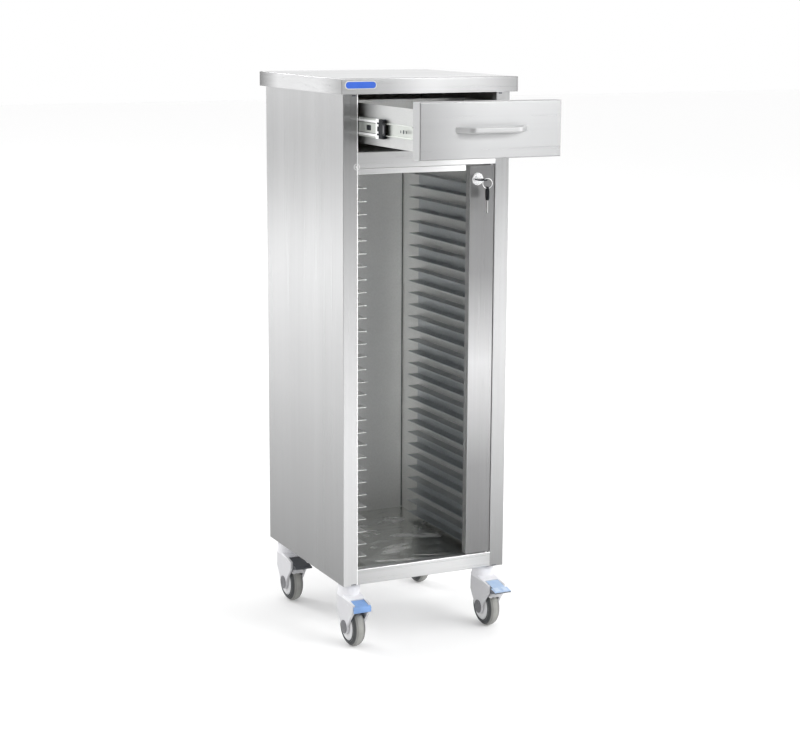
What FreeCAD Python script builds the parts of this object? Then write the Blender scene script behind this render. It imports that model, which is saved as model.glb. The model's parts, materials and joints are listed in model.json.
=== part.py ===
"""Stainless record trolley: a tall castored cabinet with a drawer, thirty folder ledges and a lock bar.

Millimetres, +Z up, front towards -Y, +X to the right of someone who faces the front. The origin is on
the floor at the middle of the outline of the trolley, which stands with its drawer pulled open.
Most sub-parts are drawn about the cabinet's own middle and moved back by "plan_shift"; castor parts are
drawn about their swivel axis.
"""
import FreeCAD, Part
import math
import os
import Sketcher

SIZES = {
    # cabinet shell
    "cabinet_width": 436.0,
    "cabinet_depth": 477.0,
    "cabinet_foot": 157.6,
    "sheet": 1.2,
    "bend": 2.2,
    "stile_width": 37.6,
    "stile_return": 20.0,
    "rear_flange": 15.0,
    "floor_level": 196.0,
    "divider_foot": 1159.7,
    "divider_level": 1198.1,
    "tray_flange": 25.0,
    "strip_drop": 13.2,
    "strip_deep": 15.0,
    "strip_end": 101.0,
    "keeper_left": 9.0,
    "keeper_right": 26.0,
    "keeper_near": 13.5,
    "keeper_far": 4.5,
    # worktop
    "worktop_foot": 1331.0,
    "worktop_thickness": 36.0,
    "worktop_side": 11.6,
    "worktop_front": 15.6,
    "worktop_rear": 11.0,
    "worktop_hem": 9.5,
    # folder ledges
    "liner_half": 164.4,
    "ledge_width": 30.0,
    "liner_front": -191.0,
    "liner_play": 0.2,
    "ledge_front": -187.8,
    "ledge_rear": 138.2,
    "ledge_first": 211.8,
    "ledge_pitch": 30.95,
    # drawer
    "drawer_travel": 311.6,
    "front_width": 351.4,
    "front_foot": 1201.6,
    "front_tall": 125.0,
    "front_deep": 34.0,
    "box_half": 169.0,
    "box_foot": 1218.5,
    "box_tall": 91.5,
    "box_deep": 416.0,
    "rim": 8.0,
    "handle_half": 89.0,
    "handle_reach": 27.0,
    "handle_height": 1265.5,
    "handle_tall": 13.0,
    "handle_thick": 8.0,
    "handle_slope": 27.0,
    "handle_foot": 11.0,
    "handle_step": 4.0,
    "handle_outer_bend": 22.0,
    "handle_inner_bend": 14.0,
    "handle_round": 3.4,
    # slides
    "slide_height": 1258.0,
    "slide_sheet": 1.4,
    "slide_length": 400.0,
    "slide_setback": 36.0,
    "slide_thick": 12.7,
    "middle_proud": 109.8,
    "middle_length": 340.0,
    "outer_tall": 53.0,
    "outer_deep": 9.8,
    "middle_tall": 43.6,
    "middle_deep": 8.2,
    "middle_inset": 2.9,
    "slot_behind": 41.5,
    "slot_long": 25.0,
    "slot_tall": 12.2,
    "slot_round": 3.0,
    "inner_tall": 28.0,
    "inner_deep": 7.2,
    "inner_play": 2.0,
    "bumper_long": 32.0,
    "jaw_long": 23.0,
    "jaw_foot": 17.5,
    "jaw_bevel": 2.0,
    "nose_rise": 14.0,
    "bridge_thick": 1.6,
    "bracket_long": 60.0,
    "bracket_tall": 45.0,
    "bracket_near": 20.0,
    "bracket_far": 120.0,
    # lock bar
    "bar_left": 112.7,
    "bar_right": 177.9,
    "bar_foot": 198.5,
    "bar_top": 1157.6,
    "bar_return": 20.5,
    "bar_lip": 9.0,
    "bar_tab": 1.8,
    "bar_bend": 1.0,
    "pivot_across": 171.0,
    "pivot_deep": 4.5,
    "pin_radius": 3.0,
    "pin_play": 0.05,
    "pin_long": 12.0,
    "washer_radius": 4.0,
    "washer_thick": 1.7,
    # lock and keys
    "lock_across": 132.2,
    "lock_height": 1125.6,
    "lock_radius": 14.8,
    "lock_proud": 3.0,
    "barrel_radius": 9.0,
    "barrel_long": 9.5,
    "barrel_play": 0.1,
    "flange_bevel": 0.8,
    "nut_rim": 3.0,
    "nut_thick": 4.0,
    "plug_radius": 6.0,
    "plug_proud": 0.4,
    "keyway_play": 0.1,
    "cam_long": 41.0,
    "cam_width": 14.0,
    "cam_thick": 2.5,
    "cam_heel": 1.0,
    "cam_round": 4.0,
    "screw_radius": 4.0,
    "screw_thick": 2.8,
    "bow_width": 25.0,
    "bow_long": 31.0,
    "bow_thick": 3.0,
    "bow_gap": 2.4,
    "bow_shoulder": 7.0,
    "bow_taper": 6.0,
    "bow_crown": 10.0,
    "slot_half": 9.0,
    "slot_margin": 4.0,
    "slot_deep": 6.5,
    "eye_radius": 3.1,
    "eye_drop": 2.8,
    "spare_rise": 3.2,
    "spare_long": 32.0,
    "spare_blade": 30.0,
    "blade_width": 8.0,
    "blade_thick": 2.0,
    "ring_radius": 11.7,
    "ring_wire": 0.8,
    "ring_across": 142.95,
    "ring_deep": 269.0,
    "ring_height": 1117.15,
    "ring_turn": -11.0,
    # castors
    "castor_across": 184.4,
    "castor_along": 194.9,
    "castor_trail": 22.1,
    "wheel_radius": 50.0,
    "tread_width": 32.0,
    "core_radius": 36.0,
    "hub_width": 33.0,
    "bore_radius": 6.0,
    "stem_radius": 6.0,
    "head_radius": 27.0,
    "fork_width": 47.0,
    "fork_gap": 36.0,
    "cap_radius": 16.5,
    "pedal_width": 34.0,
    "toe_width": 44.8,
    "pedal_ahead": 46.0,
    "pedal_height": 112.0,
    "pedal_pin": 2.5,
    "pedal_skirt": 2.5,
    "knuckle_wall": 3.5,
    "cap_thick": 1.2,
    "boss_wall": 2.5,
    "wheel_play": 3.0,
    "head_level": 124.0,
    "head_gap": 6.5,
    "plate_side": 62.0,
    "plate_inset": 22.0,
    "plate_thick": 4.0,
    "stem_play": 0.3,
    "stem_below": 30.0,
    "stem_above": 20.0,
    "collar_tall": 6.0,
    "collar_inset": 4.0,
    "hex_flats": 18.0,
    "hex_tall": 10.0,
}

LEDGE_CHANNELS = 15

doc = FreeCAD.newDocument("record_trolley")
sheet = doc.addObject("Spreadsheet::Sheet", "Dims")


class Size(float):
    """A length or angle that keeps the sheet expression it was worked out from."""

    def __new__(cls, amount, text):
        size = super().__new__(cls, amount)
        size.text = text
        return size

    def __add__(self, other):
        return Size(float(self) + float(other), f"({self.text} + {words(other)})")

    def __radd__(self, other):
        return Size(float(other) + float(self), f"({words(other)} + {self.text})")

    def __sub__(self, other):
        return Size(float(self) - float(other), f"({self.text} - {words(other)})")

    def __rsub__(self, other):
        return Size(float(other) - float(self), f"({words(other)} - {self.text})")

    def __mul__(self, other):
        return Size(float(self) * float(other), f"({self.text} * {words(other)})")

    def __rmul__(self, other):
        return Size(float(other) * float(self), f"({words(other)} * {self.text})")

    def __truediv__(self, other):
        return Size(float(self) / float(other), f"({self.text} / {words(other)})")

    def __neg__(self):
        return Size(-float(self), f"(0 - {self.text})")


def words(number):
    """The expression text of a size, or a plain number written out."""
    return number.text if isinstance(number, Size) else f"({float(number):.6f})"


def fill_sheet():
    """Write every driving dimension to the sheet and return them as sizes."""
    named = {}
    for row, (alias, amount) in enumerate(SIZES.items(), start=1):
        sheet.set(f"A{row}", alias)
        sheet.set(f"B{row}", f"{amount}")
        sheet.setAlias(f"B{row}", alias)
        named[alias] = Size(amount, f"Dims.{alias}")
    doc.recompute()
    return named


D = fill_sheet()

# Lines of the cabinet that many sub-parts share.
HALF = D["cabinet_width"] / 2
FRONT = -D["cabinet_depth"] / 2
REAR = D["cabinet_depth"] / 2
EDGE = HALF - D["stile_width"]
WALL = HALF - D["sheet"]
BEHIND = FRONT + D["stile_return"]
BACK = REAR - 2 * D["sheet"]
TOP = D["worktop_foot"] + D["sheet"]
FACE_OPEN = FRONT - D["drawer_travel"]
HANDLE_TIP = FACE_OPEN - D["handle_reach"] - D["handle_thick"] / 2
PLAN_SHIFT = -(HANDLE_TIP + REAR + D["worktop_rear"]) / 2


def bind(thing, path, size):
    """Set one property, by expression where the size comes from the sheet."""
    if isinstance(size, Size):
        thing.setExpression(path, size.text)
    elif path == ".AttachmentOffset.Base.z":
        thing.AttachmentOffset = FreeCAD.Placement(FreeCAD.Vector(0, 0, size), FreeCAD.Rotation())
    else:
        setattr(thing, path, size)


def put(item, x, y, z, turn):
    """Place a sub-part in the trolley; each distance that comes from the sheet stays bound to it."""
    item.Placement = FreeCAD.Placement(FreeCAD.Vector(float(x), float(y), float(z)), turn)
    for axis, size in (("x", x), ("y", y), ("z", z)):
        if isinstance(size, Size):
            item.setExpression(f".Placement.Base.{axis}", size.text)


def new_body(label, x=0.0, y=PLAN_SHIFT, z=0.0, turn=FreeCAD.Rotation()):
    """An empty body at its place in the trolley."""
    body = doc.addObject("PartDesign::Body", label)
    body.Label = label
    put(body, x, y, z, turn)
    return body


def origin_part(body, role):
    """One of a body's own origin planes or axes."""
    return next(item for item in body.Origin.OriginFeatures if item.Role == role)


def new_sketch(body, plane, level):
    """A sketch on an origin plane, moved to a level along that plane's world axis."""
    sketch = body.newObject("Sketcher::SketchObject", f"{body.Name}_sketch")
    sketch.AttachmentSupport = [(origin_part(body, f"{plane}_Plane"), "")]
    sketch.MapMode = "FlatFace"
    side = -1 if plane == "XZ" else 1
    bind(sketch, ".AttachmentOffset.Base.z", side * level)
    sketch.Visibility = False
    return sketch


def fix_point(sketch, item, spot, point):
    """Hold one point of a sketch at a place measured from the sketch's origin."""
    for kind, size in (("DistanceX", point[0]), ("DistanceY", point[1])):
        rule = sketch.addConstraint(Sketcher.Constraint(kind, -1, 1, item, spot, float(size)))
        if isinstance(size, Size):
            sketch.setExpression(f"Constraints[{rule}]", size.text)


def draw_outline(sketch, corners):
    """A closed straight-edged outline through the corners."""
    points = [FreeCAD.Vector(float(a), float(b), 0) for a, b in corners]
    first = sketch.GeometryCount
    count = len(points)
    for i, point in enumerate(points):
        sketch.addGeometry(Part.LineSegment(point, points[(i + 1) % count]))
    for i in range(count):
        sketch.addConstraint(Sketcher.Constraint("Coincident", first + i, 2, first + (i + 1) % count, 1))
    for i, corner in enumerate(corners):
        fix_point(sketch, first + i, 1, corner)


def draw_circle(sketch, centre, radius):
    """A circle with a bound centre and radius."""
    middle = FreeCAD.Vector(float(centre[0]), float(centre[1]), 0)
    item = sketch.addGeometry(Part.Circle(middle, FreeCAD.Vector(0, 0, 1), float(radius)))
    fix_point(sketch, item, 3, centre)
    rule = sketch.addConstraint(Sketcher.Constraint("Radius", item, float(radius)))
    if isinstance(radius, Size):
        sketch.setExpression(f"Constraints[{rule}]", radius.text)


def draw_rectangle(sketch, low, high):
    """A rectangle between two opposite corners."""
    draw_outline(sketch, [low, (high[0], low[1]), high, (low[0], high[1])])


def pad(body, plane, low, high, draw, *shape):
    """Fill what draw makes on a plane, from one level to another along that plane's world axis."""
    sketch = new_sketch(body, plane, low)
    draw(sketch, *shape)
    feature = body.newObject("PartDesign::Pad", f"{body.Name}_pad")
    feature.Profile = sketch
    bind(feature, "Length", high - low)
    feature.Reversed = plane == "XZ"
    return feature


def pocket(body, plane, low, high, draw, *shape):
    """Cut what draw makes on a plane, between two levels along that plane's world axis."""
    doc.recompute()
    before = body.Shape.Volume
    sketch = new_sketch(body, plane, low if plane == "XZ" else high)
    draw(sketch, *shape)
    feature = body.newObject("PartDesign::Pocket", f"{body.Name}_pocket")
    feature.Profile = sketch
    bind(feature, "Length", high - low)
    doc.recompute()
    if body.Shape.Volume > before - 0.01:
        raise ValueError(f"a pocket of {body.Label} cuts nothing")
    return feature


def revolve(body, plane, axis, corners):
    """Turn an outline a full turn about an axis of its sketch."""
    sketch = new_sketch(body, plane, 0.0)
    draw_outline(sketch, corners)
    feature = body.newObject("PartDesign::Revolution", f"{body.Name}_turning")
    feature.Profile = sketch
    feature.ReferenceAxis = (sketch, [axis])
    feature.Angle = 360
    return feature


def repeat_up(body, feature, count, reach):
    """Repeat one feature upwards, evenly over a reach."""
    pattern = body.newObject("PartDesign::LinearPattern", f"{body.Name}_pattern")
    pattern.Originals = [feature]
    pattern.Direction = (origin_part(body, "Z_Axis"), [""])
    bind(pattern, "Length", reach)
    pattern.Occurrences = count
    body.Tip = pattern


def dress(body, kind, size, wanted):
    """Fillet or chamfer the edges of the tip that the test picks."""
    doc.recompute()
    tip = body.Tip
    names = [f"Edge{i}" for i, edge in enumerate(tip.Shape.Edges, start=1) if wanted(edge)]
    if not names:
        raise ValueError(f"{body.Label} has no such edges")
    feature = body.newObject(f"PartDesign::{kind}", f"{body.Name}_{kind.lower()}")
    feature.Base = (tip, names)
    bind(feature, "Radius" if kind == "Fillet" else "Size", size)
    doc.recompute()


def edges_along(axis, *places):
    """A test for straight edges along an axis that pass through the places, given in the other two axes."""
    across = [i for i in range(3) if i != "XYZ".index(axis)]

    def wanted(edge):
        start, end = (vertex.Point for vertex in (edge.Vertexes[0], edge.Vertexes[-1]))
        flat = [(start[i], end[i]) for i in across]
        if any(abs(a - b) > 1e-4 for a, b in flat):
            return False
        return any(all(abs(flat[k][0] - float(place[k])) < 0.01 for k in (0, 1)) for place in places)

    return wanted


def edges_at_level(axis, level, kind=None):
    """A test for edges that lie at one level along an axis, of one kind of curve if it is named."""
    index = "XYZ".index(axis)

    def wanted(edge):
        if kind and edge.Curve.TypeId != kind:
            return False
        return all(abs(vertex.Point[index] - float(level)) < 0.01 for vertex in edge.Vertexes)

    return wanted


def mirrored(side, corners):
    """Corners drawn for the right-hand side, for either side."""
    return [(side * a, b) for a, b in corners]


# ---------------------------------------------------------------- cabinet shell


def side_panel(label, side):
    """A wall folded into the front stile, with a return, and into the rear flange."""
    body = new_body(label)
    skin = D["sheet"]
    corners = [
        (HALF, FRONT),
        (EDGE, FRONT),
        (EDGE, BEHIND),
        (EDGE + skin, BEHIND),
        (EDGE + skin, FRONT + skin),
        (WALL, FRONT + skin),
        (WALL, REAR - skin),
        (HALF - D["rear_flange"], REAR - skin),
        (HALF - D["rear_flange"], REAR),
        (HALF, REAR),
    ]
    pad(body, "XY", D["cabinet_foot"], TOP, draw_outline, mirrored(side, corners))
    outside = mirrored(side, [corners[0], corners[1], corners[9]])
    inside = mirrored(side, [corners[4], corners[5], corners[6]])
    dress(body, "Fillet", D["bend"], edges_along("Z", *outside))
    dress(body, "Fillet", D["bend"] - skin, edges_along("Z", *inside))


def back_panel():
    """A flat sheet behind the liners, against the rear flanges."""
    body = new_body("back_panel")
    half = WALL - D["bend"]
    low = (-half, BACK)
    high = (half, REAR - D["sheet"])
    pad(body, "XY", D["cabinet_foot"], TOP, draw_rectangle, low, high)


def tray(label, level):
    """A level sheet with a flange down each side wall: the floor, and the shelf under the drawer."""
    body = new_body(label)
    skin = D["sheet"]
    hem = level - D["tray_flange"]
    corners = [
        (-WALL, level),
        (WALL, level),
        (WALL, hem),
        (WALL - skin, hem),
        (WALL - skin, level - skin),
        (skin - WALL, level - skin),
        (skin - WALL, hem),
        (-WALL, hem),
    ]
    pad(body, "XZ", BEHIND, BACK, draw_outline, corners)


def cross_rail(label, foot, level):
    """A channel between the stiles, flush with their faces and open to the rear."""
    body = new_body(label)
    skin = D["sheet"]
    corners = [
        (FRONT, foot),
        (BEHIND, foot),
        (BEHIND, foot + skin),
        (FRONT + skin, foot + skin),
        (FRONT + skin, level - skin),
        (BEHIND, level - skin),
        (BEHIND, level),
        (FRONT, level),
    ]
    pad(body, "YZ", -EDGE, EDGE, draw_outline, corners)
    dress(body, "Fillet", D["bend"], edges_along("X", corners[0], corners[7]))
    return body


def divider_rail():
    """The rail under the drawer, with the slot that the lock's cam swings up into."""
    body = cross_rail("divider_rail", D["divider_foot"], D["divider_level"])
    middle = D["lock_across"]
    low = (middle - D["keeper_left"], BEHIND - D["keeper_near"])
    high = (middle + D["keeper_right"], BEHIND - D["keeper_far"])
    foot = D["divider_foot"]
    pocket(body, "XY", foot - 1, foot + D["sheet"] + 1, draw_rectangle, low, high)


def stop_strip():
    """A small angle under the divider rail that ends beside the lock bar."""
    body = new_body("divider_stop_strip")
    top = D["divider_foot"]
    skin = D["sheet"]
    corners = [
        (FRONT, top),
        (FRONT, top - D["strip_drop"]),
        (FRONT + skin, top - D["strip_drop"]),
        (FRONT + skin, top - skin),
        (FRONT + D["strip_deep"], top - skin),
        (FRONT + D["strip_deep"], top),
    ]
    pad(body, "YZ", -EDGE, D["strip_end"], draw_outline, corners)


def base_panel():
    """The sheet that closes the base, with a hole for each castor stem."""
    body = new_body("base_panel")
    foot = D["cabinet_foot"]
    pad(body, "XY", foot, foot + D["sheet"], draw_rectangle, (-WALL, BEHIND), (WALL, BACK))
    for x, y in castor_places():
        pocket(body, "XY", foot - 1, foot + D["sheet"] + 1, draw_circle, (x, y), stem_hole())


def liner(label, side):
    """The inner wall that carries the ledges, with a front flange out to the side wall."""
    body = new_body(label)
    inner = D["liner_half"]
    skin = D["sheet"]
    reach = WALL - skin - D["liner_play"]
    lead = D["liner_front"]
    corners = [
        (inner, lead),
        (reach, lead),
        (reach, lead + skin),
        (inner + skin, lead + skin),
        (inner + skin, BACK),
        (inner, BACK),
    ]
    shelf = D["divider_level"] - skin
    pad(body, "XY", D["floor_level"], shelf, draw_outline, mirrored(side, corners))
    dress(body, "Fillet", D["bend"], edges_along("Z", (side * inner, lead)))


def chart_rails(label, side):
    """Fifteen channels on one liner: each channel's two flanges are ledges for folders."""
    body = new_body(label)
    skin = D["sheet"]
    foot = D["ledge_first"] - skin
    head = D["ledge_first"] + D["ledge_pitch"]
    wall = D["liner_half"]
    tip = wall - D["ledge_width"]
    corners = [
        (wall, foot),
        (tip, foot),
        (tip, foot + skin),
        (wall - skin, foot + skin),
        (wall - skin, head - skin),
        (tip, head - skin),
        (tip, head),
        (wall, head),
    ]
    first = pad(body, "XZ", D["ledge_front"], D["ledge_rear"], draw_outline, mirrored(side, corners))
    reach = D["ledge_pitch"] * (2 * LEDGE_CHANNELS - 2)
    repeat_up(body, first, LEDGE_CHANNELS, reach)


# ---------------------------------------------------------------- worktop


def worktop_edges(inset):
    """The worktop's outline, drawn in by an inset."""
    half = HALF + D["worktop_side"] - inset
    return (-half, FRONT - D["worktop_front"] + inset), (half, REAR + D["worktop_rear"] - inset)


def worktop():
    """A pressed pan upside down, with a narrow hem turned in under its lip."""
    body = new_body("worktop")
    skin = D["sheet"]
    foot = D["worktop_foot"]
    head = foot + D["worktop_thickness"]
    pad(body, "XY", foot, head, draw_rectangle, *worktop_edges(0.0))
    pocket(body, "XY", foot + skin, head - skin, draw_rectangle, *worktop_edges(skin))
    pocket(body, "XY", foot - 1, foot + skin, draw_rectangle, *worktop_edges(skin + D["worktop_hem"]))
    dress(body, "Fillet", D["bend"], edges_at_level("Z", head))


def worktop_core():
    """The board that stiffens the worktop; it rests on the walls and on the hem."""
    body = new_body("worktop_core")
    foot = D["worktop_foot"] + D["sheet"]
    head = D["worktop_foot"] + D["worktop_thickness"] - D["sheet"]
    pad(body, "XY", foot, head, draw_rectangle, *worktop_edges(D["sheet"]))


# ---------------------------------------------------------------- drawer slides


def channel(web, tips, height, tall, skin):
    """A channel's section with its web at one place across and its flanges' tips at another."""
    inward = skin if tips > web else -skin
    low = height - tall / 2
    high = height + tall / 2
    return [
        (web, low),
        (tips, low),
        (tips, low + skin),
        (web + inward, low + skin),
        (web + inward, high - skin),
        (tips, high - skin),
        (tips, high),
        (web, high),
    ]


def slide_outside():
    """How far from the middle the slides' outer members stand."""
    return D["box_half"] + D["slide_thick"]


def slide_brackets():
    """Four channels that hold the slides off the side walls."""
    body = new_body("slide_brackets")
    section = channel(WALL, slide_outside(), D["slide_height"], D["bracket_tall"], D["slide_sheet"])
    for start in (BEHIND + D["bracket_near"], D["bracket_far"]):
        for side in (-1, 1):
            end = start + D["bracket_long"]
            pad(body, "XZ", start, end, draw_outline, mirrored(side, section))


def slide_outer(label, side):
    """The slide's fixed member."""
    body = new_body(label)
    web = slide_outside()
    section = channel(web, web - D["outer_deep"], D["slide_height"], D["outer_tall"], D["slide_sheet"])
    start = FRONT + D["slide_setback"]
    pad(body, "XZ", start, start + D["slide_length"], draw_outline, mirrored(side, section))
    dress(body, "Fillet", D["slide_sheet"], edges_along("Y", *mirrored(side, [section[0], section[7]])))


def middle_start():
    """The front end of the middle member, which stands out of the cabinet with the drawer open."""
    return FRONT - D["middle_proud"]


def middle_web():
    """How far from the middle the middle members' webs stand."""
    return slide_outside() - D["middle_inset"]


def slide_middle(label, side):
    """The slide's middle member, with a slot near its front end."""
    body = new_body(label)
    web = middle_web()
    height = D["slide_height"]
    section = channel(web, web - D["middle_deep"], height, D["middle_tall"], D["slide_sheet"])
    start = middle_start()
    pad(body, "XZ", start, start + D["middle_length"], draw_outline, mirrored(side, section))
    dress(body, "Fillet", D["slide_sheet"], edges_along("Y", *mirrored(side, [section[0], section[7]])))
    low, high = sorted((side * (web - D["middle_deep"]), side * (web + 1)), key=float)
    near = start + D["slot_behind"]
    far = near + D["slot_long"]
    rise = D["slot_tall"] / 2
    pocket(body, "YZ", low, high, draw_rectangle, (near, height - rise), (far, height + rise))
    corners = [(y, height + way * rise) for y in (near, far) for way in (-1, 1)]
    dress(body, "Fillet", D["slot_round"], edges_along("X", *corners))


def slide_bumpers():
    """The plastic stop at the front end of each middle member: two jaws and a bridge with a nose."""
    body = new_body("slide_bumpers")
    height = D["slide_height"]
    end = middle_start()
    jaw = end - D["jaw_long"]
    foot = D["jaw_foot"]
    top = D["middle_tall"] / 2
    bevel = D["jaw_bevel"]
    web = middle_web()
    for side in (-1, 1):
        low, high = sorted((side * web, side * (web - D["middle_deep"])), key=float)
        for way in (-1, 1):
            corners = [
                (jaw, height + way * foot),
                (end, height + way * foot),
                (end, height + way * top),
                (jaw + bevel, height + way * top),
                (jaw, height + way * (top - bevel)),
            ]
            pad(body, "YZ", low, high, draw_outline, corners)
        low, high = sorted((side * web, side * (web - D["bridge_thick"])), key=float)
        pad(body, "YZ", low, high, draw_rectangle, (jaw, height - foot), (end, height + foot))
        nose = (end - D["bumper_long"], height - D["nose_rise"]), (jaw, height + D["nose_rise"])
        pad(body, "YZ", low, high, draw_rectangle, *nose)


def slide_inner(label, side):
    """The slide's member on the drawer."""
    body = new_body(label)
    web = D["box_half"]
    section = channel(web, web + D["inner_deep"], D["slide_height"], D["inner_tall"], D["slide_sheet"])
    start = FACE_OPEN + D["front_deep"] + D["inner_play"]
    pad(body, "XZ", start, start + D["slide_length"], draw_outline, mirrored(side, section))
    dress(body, "Fillet", D["slide_sheet"], edges_along("Y", *mirrored(side, [section[0], section[7]])))


# ---------------------------------------------------------------- drawer


def drawer_front():
    """A folded pan, open at the back, that fills the opening between the stiles when it is shut."""
    body = new_body("drawer_front")
    skin = D["sheet"]
    half = D["front_width"] / 2
    foot = D["front_foot"]
    head = foot + D["front_tall"]
    back = FACE_OPEN + D["front_deep"]
    pad(body, "XZ", FACE_OPEN, back, draw_rectangle, (-half, foot), (half, head))
    hollow = (skin - half, foot + skin), (half - skin, head - skin)
    pocket(body, "XZ", FACE_OPEN + skin, back + 1, draw_rectangle, *hollow)
    dress(body, "Fillet", D["bend"], edges_at_level("Y", FACE_OPEN))


def drawer_box():
    """The tray behind the front, with a doubled rim."""
    body = new_body("drawer_box")
    skin = D["sheet"]
    start = FACE_OPEN + D["front_deep"]
    end = start + D["box_deep"]
    foot = D["box_foot"]
    head = foot + D["box_tall"]
    half = D["box_half"]
    pad(body, "XY", foot, head, draw_rectangle, (-half, start), (half, end))
    low = (2 * skin - half, start + 2 * skin)
    high = (half - 2 * skin, end - 2 * skin)
    pocket(body, "XY", foot + skin, head + 1, draw_rectangle, low, high)
    low = (skin - half, start + skin)
    high = (half - skin, end - skin)
    pocket(body, "XY", foot + skin, head - D["rim"], draw_rectangle, low, high)
    corners = [(side * half, y) for side in (-1, 1) for y in (start, end)]
    dress(body, "Fillet", D["bend"], edges_along("Z", *corners))


def drawer_handle():
    """A bow handle: a bar bent out of the front's face and back, with rounded edges."""
    body = new_body("drawer_handle")
    half = D["handle_half"]
    inner = FACE_OPEN - D["handle_reach"] + D["handle_thick"] / 2
    outer = inner - D["handle_thick"]
    slope = D["handle_slope"]
    foot = D["handle_foot"]
    step = slope + D["handle_step"]
    bar = [
        (-half, FACE_OPEN),
        (slope - half, outer),
        (half - slope, outer),
        (half, FACE_OPEN),
        (half - foot, FACE_OPEN),
        (half - step, inner),
        (step - half, inner),
        (foot - half, FACE_OPEN),
    ]
    low = D["handle_height"] - D["handle_tall"] / 2
    high = low + D["handle_tall"]
    pad(body, "XY", low, high, draw_outline, bar)
    dress(body, "Fillet", D["handle_outer_bend"], edges_along("Z", bar[1], bar[2]))
    dress(body, "Fillet", D["handle_inner_bend"], edges_along("Z", bar[5], bar[6]))
    bottom = edges_at_level("Z", low)
    top = edges_at_level("Z", high)
    root = edges_at_level("Y", FACE_OPEN)
    dress(body, "Fillet", D["handle_round"], lambda edge: (bottom(edge) or top(edge)) and not root(edge))


# ---------------------------------------------------------------- lock bar


def bar_pivot():
    """Where the lock bar's pins stand."""
    return D["pivot_across"], FRONT + D["pivot_deep"]


def lock_bar():
    """A tall channel closed at both ends by a tab that turns on a pin."""
    body = new_body("lock_bar")
    skin = D["sheet"]
    left = D["bar_left"]
    right = D["bar_right"]
    foot = D["bar_foot"]
    head = D["bar_top"]
    corners = [
        (left, FRONT),
        (right, FRONT),
        (right, FRONT + D["bar_lip"]),
        (right - skin, FRONT + D["bar_lip"]),
        (right - skin, FRONT + skin),
        (left + skin, FRONT + skin),
        (left + skin, FRONT + D["bar_return"]),
        (left, FRONT + D["bar_return"]),
    ]
    pad(body, "XY", foot, head, draw_outline, corners)
    low = (left + skin / 2, FRONT + skin / 2)
    high = (right - skin / 2, FRONT + D["bar_lip"])
    tab = D["bar_tab"]
    for start in (foot, head - tab):
        pad(body, "XY", start, start + tab, draw_rectangle, low, high)
    dress(body, "Fillet", D["bar_bend"], edges_along("Z", corners[0], corners[1]))
    hole = D["pin_radius"] + D["pin_play"]
    for start in (foot - 1, head - tab - 1):
        pocket(body, "XY", start, start + tab + 2, draw_circle, bar_pivot(), hole)
    barrel = D["barrel_radius"] + D["barrel_play"]
    pocket(body, "XZ", FRONT - 1, FRONT + skin + 1, draw_circle, lock_centre(), barrel)


def bar_hinge_pins():
    """A pin with a washer at each end of the lock bar, fixed to the rails."""
    body = new_body("bar_hinge_pins")
    washer = D["washer_radius"]
    thick = D["washer_thick"]
    floor = D["floor_level"]
    rail = D["divider_foot"]
    pad(body, "XY", floor, floor + thick, draw_circle, bar_pivot(), washer)
    pad(body, "XY", floor, floor + D["pin_long"], draw_circle, bar_pivot(), D["pin_radius"])
    pad(body, "XY", rail - thick, rail, draw_circle, bar_pivot(), washer)
    pad(body, "XY", rail - D["pin_long"], rail, draw_circle, bar_pivot(), D["pin_radius"])


# ---------------------------------------------------------------- lock and keys


def lock_centre():
    """The lock's axis, across and up."""
    return D["lock_across"], D["lock_height"]


def plug_end():
    """The rear end of the lock's barrel and plug."""
    return FRONT + D["barrel_long"]


def lock_housing():
    """The lock's flange and barrel, bored for the plug."""
    body = new_body("lock_housing")
    proud = FRONT - D["lock_proud"]
    pad(body, "XZ", proud, FRONT, draw_circle, lock_centre(), D["lock_radius"])
    pad(body, "XZ", proud, plug_end(), draw_circle, lock_centre(), D["barrel_radius"])
    bore = D["plug_radius"] + D["pin_play"]
    pocket(body, "XZ", proud - 1, plug_end() + 1, draw_circle, lock_centre(), bore)
    dress(body, "Chamfer", D["flange_bevel"], edges_at_level("Y", proud, "Part::GeomCircle"))


def lock_nut():
    """The round nut behind the lock bar's face."""
    body = new_body("lock_nut")
    near = FRONT + D["sheet"]
    far = near + D["nut_thick"]
    pad(body, "XZ", near, far, draw_circle, lock_centre(), D["barrel_radius"] + D["nut_rim"])
    pocket(body, "XZ", near - 1, far + 1, draw_circle, lock_centre(), D["barrel_radius"])


def lock_plug():
    """The part of the lock that turns with the key, with its keyway."""
    body = new_body("lock_plug")
    near = FRONT - D["lock_proud"] - D["plug_proud"]
    pad(body, "XZ", near, plug_end(), draw_circle, lock_centre(), D["plug_radius"])
    across, height = lock_centre()
    wide = D["blade_width"] / 2 + D["keyway_play"]
    thick = D["blade_thick"] / 2 + D["keyway_play"]
    keyway = (across - wide, height - thick), (across + wide, height + thick)
    pocket(body, "XZ", near - 1, plug_end() - 2, draw_rectangle, *keyway)


def lock_cam():
    """The arm behind the plug, held by a screw."""
    body = new_body("lock_cam")
    near = plug_end()
    across, height = lock_centre()
    half = D["cam_width"] / 2
    tip = across + D["cam_long"]
    low = (across - half - D["cam_heel"], height - half)
    pad(body, "XZ", near, near + D["cam_thick"], draw_rectangle, low, (tip, height + half))
    dress(body, "Fillet", D["cam_round"], edges_along("Y", (tip, height - half), (tip, height + half)))
    head = near + D["cam_thick"]
    pad(body, "XZ", head, head + D["screw_thick"], draw_circle, lock_centre(), D["screw_radius"])


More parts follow.
